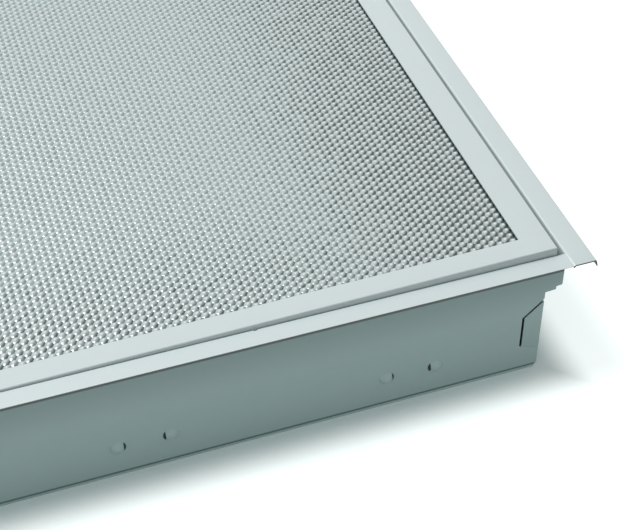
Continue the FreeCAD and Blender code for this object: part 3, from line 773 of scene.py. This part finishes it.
bpy.ops.object.select_all(action="DESELECT")
bpy.ops.mesh.primitive_cone_add(
    vertices=6, radius1=PRISM_PITCH / math.sqrt(3) * 0.001, radius2=0, depth=PRISM_RISE * 0.001,
    end_fill_type="NOTHING", location=(0, 0, 0), rotation=(0, 0, math.radians(90)),
)
lens = new_piece("prismatic_lens")
bpy.ops.object.mode_set(mode="EDIT")
bpy.ops.mesh.select_all(action="SELECT")
bpy.ops.mesh.duplicate_move(TRANSFORM_OT_translate={"value": mm(PRISM_ROW, PRISM_PITCH / 2, 0)})
bpy.ops.mesh.select_all(action="SELECT")
start = Vector(mm(
    -PRISM_ROW * (PRISM_PAIRS - 1), -PRISM_PITCH * (PRISM_ALONG // 2), PRISM_TOP - PRISM_RISE / 2
))
bpy.ops.transform.translate(value=start)
bpy.ops.object.mode_set(mode="OBJECT")
for way, step, count in ((0, PRISM_ROW * 2, PRISM_PAIRS), (1, PRISM_PITCH, PRISM_ALONG)):
    offset = [0.0, 0.0, 0.0]
    offset[way] = step * 0.001
    apply(
        lens, "ARRAY", count=count, use_relative_offset=False, use_constant_offset=True,
        constant_offset_displace=offset, use_merge_vertices=True, merge_threshold=0.00005,
    )
bpy.ops.object.mode_set(mode="EDIT")
bpy.ops.mesh.select_all(action="SELECT")
bpy.ops.mesh.remove_doubles(threshold=0.0001)
for place, way in (
    ((LENS_X, 0, 0), (1, 0, 0)), ((-LENS_X, 0, 0), (-1, 0, 0)),
    ((0, LENS_Y, 0), (0, 1, 0)), ((0, -LENS_Y, 0), (0, -1, 0)),
):
    bpy.ops.mesh.select_all(action="SELECT")
    bpy.ops.mesh.bisect(plane_co=mm(*place), plane_no=way, clear_outer=True)
pick(lens, "edges", lambda at, e: len(e.link_faces) == 1)
bpy.ops.mesh.extrude_edges_move(TRANSFORM_OT_translate={"value": mm(0, 0, -1)})
bpy.ops.transform.resize(value=(1, 1, 0), center_override=mm(0, 0, LENS_UNDER))
bpy.ops.mesh.edge_face_add()
bpy.ops.mesh.select_all(action="SELECT")
bpy.ops.mesh.normals_make_consistent(inside=False)
bpy.ops.object.mode_set(mode="OBJECT")
smooth(lens, 38)
ajar(lens)

acrylic, s, shader = finish_of("lens_acrylic", IOR=1.49, Coat_Weight=0.9, Coat_Roughness=0.1)
x, y, z = s.axes()
lift = z - (x - HINGE[0]) * math.tan(AJAR) - HINGE[2]
# The base colour paints shade on the prisms: painted shade in the valleys and on the sides turned from the
# lamp, deeper near the frame, where the pale colour is painted lighter too.
crest = lift.step(0.0027, 0.0040)
facing = s.node("SeparateXYZ", {"Vector": s.node("TexCoord", out=1)})
across, along = (Shade(s.tree, facing.socket.node.outputs[i]) for i in (0, 1))
away = (across * 0.8 - along * 0.6).step(-0.12, 0.32)
rim = (SIGHT_X * 0.001 - x).step(0.0, 0.17, 1.0, 0.0)
foot = (y + SIGHT_Y * 0.001).step(0.0, 0.12, 1.0, 0.0)
near_frame = s.sum("MAXIMUM", rim * y.size().step(0.1, 0.55, 0.45, 1.1), foot * 0.45)
# A painted shadow along both side edges, where the frame shades the lens.
under = (x.size() - (SIGHT_X - 1.3) * 0.001).step(0.0, 0.0012)
uneven = s.noise(170.0, 1.0) * 1.3 + 0.35
shade = (away * (near_frame * 0.62 + 0.42) + (1 - crest) * (near_frame * 0.34 + 0.08)) * uneven + under * 0.7
# Painted glints on the prism tips on the lamp's side.
painted_glint = lift.step(0.0034, 0.0041) * (1 - away) * uneven
pale = near_frame.mix((0.50, 0.60, 0.60), (0.64, 0.73, 0.73))
link(
    shader,
    Base_Color=s.sum("MINIMUM", shade, 1.0).mix(painted_glint.mix(pale, (0.93, 0.98, 0.98)), (0.02, 0.05, 0.047)),
    Roughness=s.noise(3.0, 2.0) * 0.06 + 0.18,
)
dress(lens, "door", "lens_acrylic", acrylic, "lens")

# ---------------------------------------------------------------------------------------------
# Hinges and latches.
# Pressed and plated steel: brackets on the left collar, pins through their ears, arms under the
# door; slotted knobs at the right, each with its cam riveted on the stud.
# ---------------------------------------------------------------------------------------------
for end in ("front", "rear"):
    eased("hinge_ears_" + end, "hinge_bracket_" + end, "housing", "zinc_steel", zinc, 0.2)
    finish_node("hinge_pin_" + end, zinc)
    finish_node("door_hinge_arm_" + end, zinc)
    eased("latch_button_" + end, "latch_knob_" + end, "latch_" + end, "zinc_steel", zinc, 0.15)
    eased("latch_tongue_" + end, "latch_cam_" + end, "latch_" + end, "zinc_steel", zinc, 0.2)

# ---------------------------------------------------------------------------------------------
# Screws.
# Pan-head sheet screws with a cross recess, zinc plated, all of one kind.
# ---------------------------------------------------------------------------------------------
SCREW_HEAD_R = 3.2
SCREW_HEAD = 1.8
SCREW_R = 1.6
SCREW_SHANK = 1.5


def pan_screw(name):
    """A screw that points down, with the underside of its head at the origin."""
    bpy.ops.object.select_all(action="DESELECT")
    bpy.ops.mesh.primitive_cylinder_add(
        vertices=32, radius=SCREW_HEAD_R * 0.001, depth=SCREW_HEAD * 0.001, location=mm(0, 0, SCREW_HEAD / 2)
    )
    piece = new_piece(name)
    bpy.ops.object.mode_set(mode="EDIT")
    pick(piece, "faces", lambda at, f: f.normal.z < -0.9)
    bpy.ops.mesh.inset(thickness=(SCREW_HEAD_R - SCREW_R) * 0.001)
    bpy.ops.mesh.extrude_region_move(TRANSFORM_OT_translate={"value": mm(0, 0, -SCREW_SHANK)})
    pick(piece, "edges", lambda at, e: min(v.co.z for v in e.verts) > 0.0017 and at.xy.length > 0.003)
    bpy.ops.mesh.bevel(offset=0.0009, segments=4, affect="EDGES")
    bpy.ops.object.mode_set(mode="OBJECT")
    cut(piece, cutter(-1.8, 1.8, -0.4, 0.4, 0.7, 3), cutter(-0.4, 0.4, -1.8, 1.8, 0.7, 3))
    return piece


def screws(name, node, places):
    """Copies of one screw at their places, joined as one set."""
    first = pan_screw(name)
    copies = []
    for at, way in places:
        one = first.copy()
        one.data = first.data.copy()
        bpy.context.scene.collection.objects.link(one)
        turn = Vector((0, 0, -1)).rotation_difference(Vector(way)).to_matrix().to_4x4()
        one.data.transform(Matrix.Translation(mm(*at)) @ turn)
        copies.append(one)
    bpy.data.objects.remove(first)
    alone(*copies)
    bpy.ops.object.join()
    made = bpy.context.object
    made.name = name
    smooth(made)
    dress(made, "housing", "zinc_steel", zinc, node)


down = (0, 0, -1)
screws("cover_screws", "gear_cover_screws", [((x, y, 1.6), down) for x in (-61, 61) for y in (-480, 0, 480)])
screws("case_screws", "ballast_screws", [((0, y, 1.6), down) for y in (-186, 186)])
screws("wiring_plate_screws", "access_plate_screws", [((x, WIRING_Y, 1.6), down) for x in (-36, 36)])
ends = [((x * 225, y, 1.6), down) for x in (-1, 1) for y in (-587.5, 587.5)]
walls = [((x * 274, y, 9.5), (-x, 0, 0)) for x in (-1, 1) for y in (-587.5, 587.5)]
screws("plate_screws", "end_plate_screws", walls + ends)

# ---------------------------------------------------------------------------------------------
# Studio: a plain white floor, one soft lamp above at the left, and an even pale sky.
# The floor takes the lamp's shadow beside the housing. From 3 to 35 mm away a glow that only the
# camera sees rises in it, which whitens the floor and hides the outer part of the shadow.
# ---------------------------------------------------------------------------------------------
FOOT_X = 0.274
FOOT_Y = 0.5943

bpy.ops.object.select_all(action="DESELECT")
bpy.ops.mesh.primitive_plane_add(size=60, location=(0, 0, 0))
floor = new_piece("floor")
ground, s, shader = finish_of("floor_white", Roughness=0.9)
shader.inputs["Specular IOR Level"].default_value = 0.0
seen = s.node("LightPath")
x, y, z = s.axes()
apart = s.sum("MAXIMUM", x.size() - FOOT_X, y.size() - FOOT_Y).step(0.003, 0.035)
shader.inputs["Emission Strength"].default_value = 1.0
link(
    shader,
    Base_Color=seen.mix((0.6, 0.6, 0.6), (0.88, 1.0, 0.99)),
    Emission_Color=(seen * apart).mix((0.0, 0.0, 0.0), (0.55, 0.55, 0.55)),
)
floor.data.materials.append(ground)

world = bpy.data.worlds.new("studio")
bpy.context.scene.world = world
world.use_nodes = True
sky = Shade(world.node_tree)
back = world.node_tree.nodes["Background"]
paths = world.node_tree.nodes.new("ShaderNodeLightPath").outputs
direct = Shade(world.node_tree, paths["Is Camera Ray"])
mirror = Shade(world.node_tree, paths["Is Glossy Ray"])
clear = Shade(world.node_tree, paths["Is Transmission Ray"])
strength = sky.sum("MAXIMUM", sky.sum("MAXIMUM", direct, mirror), clear) * 0.55 + 0.45
back.inputs["Color"].default_value = (1, 1, 1, 1)
world.node_tree.links.new(strength.socket, back.inputs["Strength"])


def soft_lamp(name, place, target, width, power):
    """A square lamp aimed at a point."""
    lamp = bpy.data.lights.new(name, "AREA")
    lamp.shape = "SQUARE"
    lamp.size = width
    lamp.energy = power
    holder = bpy.data.objects.new(name, lamp)
    bpy.context.scene.collection.objects.link(holder)
    holder.location = place
    holder.rotation_euler = (Vector(target) - Vector(place)).to_track_quat("-Z", "Y").to_euler()


soft_lamp("key", (-0.9, 0.06, 2.6), (0, -0.35, 0), 1.1, 44)

# camera at the photograph's place: down the light from its front end, a little from the left
CAMERA_AT = (-0.105491, -1.231472, 0.762795)
camera = bpy.data.objects.new("camera", bpy.data.cameras.new("camera"))
bpy.context.scene.collection.objects.link(camera)
aim = Euler((math.radians(90 - 42.6923), 0, math.radians(-18.9047))).to_matrix()
roll = Matrix.Rotation(math.radians(-0.2858), 3, "Z")
camera.matrix_world = Matrix.Translation(CAMERA_AT) @ (aim @ roll).to_4x4()
camera.data.sensor_width = 36.0
camera.data.lens = 88.294
camera.data.clip_start = 0.01
camera.data.clip_end = 100
bpy.context.scene.camera = camera
bpy.context.scene.view_settings.view_transform = "Standard"
